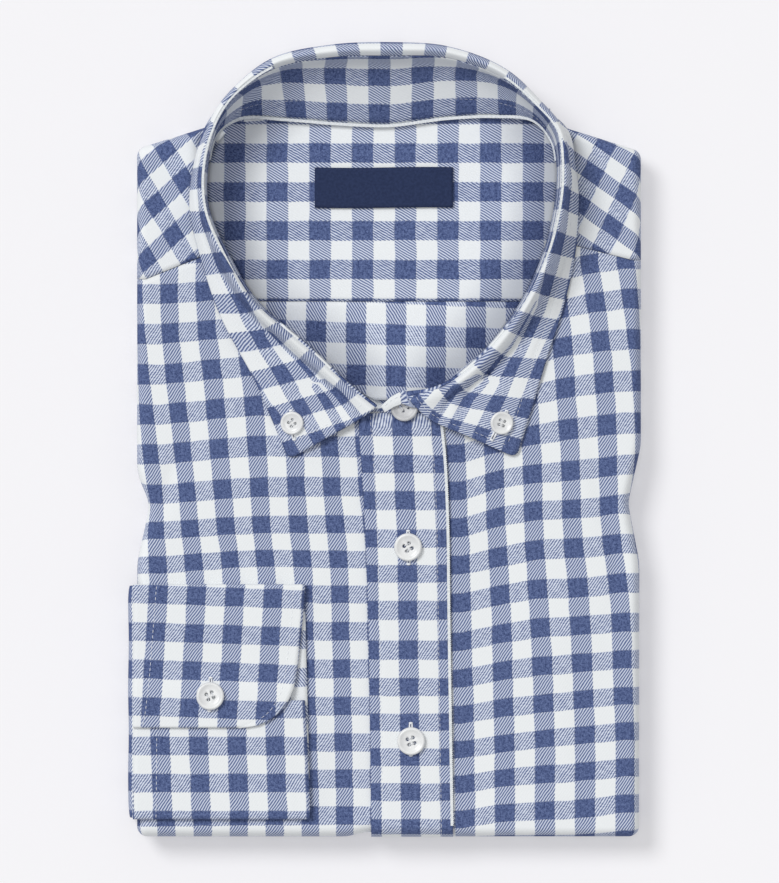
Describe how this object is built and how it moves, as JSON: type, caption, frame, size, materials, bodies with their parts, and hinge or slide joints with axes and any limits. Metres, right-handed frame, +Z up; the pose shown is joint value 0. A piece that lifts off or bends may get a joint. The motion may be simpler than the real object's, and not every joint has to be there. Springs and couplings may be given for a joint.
{
  "type": "folded dress shirt",
  "caption": "Folded long-sleeved dress shirt in blue and white check, with a button-down collar standing open round the neck and one cuff laid on the front.",
  "frame": {"origin": "middle of the flat underside, on the surface that the shirt lies on", "axes": "+X towards the wearer's left side, +Y towards the collar, +Z up from the surface through the front"},
  "size_m": [0.2265, 0.3491, 0.0488],
  "materials": {
    "checked_cotton": "brushed twill, blue and white check",
    "label_weave": "smooth navy weave",
    "button_resin": "pale grey-white, satin"
  },
  "bodies": {
    "root": {"folded_layers": "checked_cotton", "back_inner": "checked_cotton", "yoke_inner": "checked_cotton", "yoke_outer": "checked_cotton", "front_right": "checked_cotton", "front_left": "checked_cotton", "placket": "checked_cotton", "collar_band": "checked_cotton", "collar_leaf": "checked_cotton", "sleeve": "checked_cotton", "cuff": "checked_cotton", "label": "label_weave", "button_front_1": "button_resin", "button_front_2": "button_resin", "button_point_right": "button_resin", "button_point_left": "button_resin", "button_band": "button_resin", "button_cuff": "button_resin"}
  },
  "joints": []
}
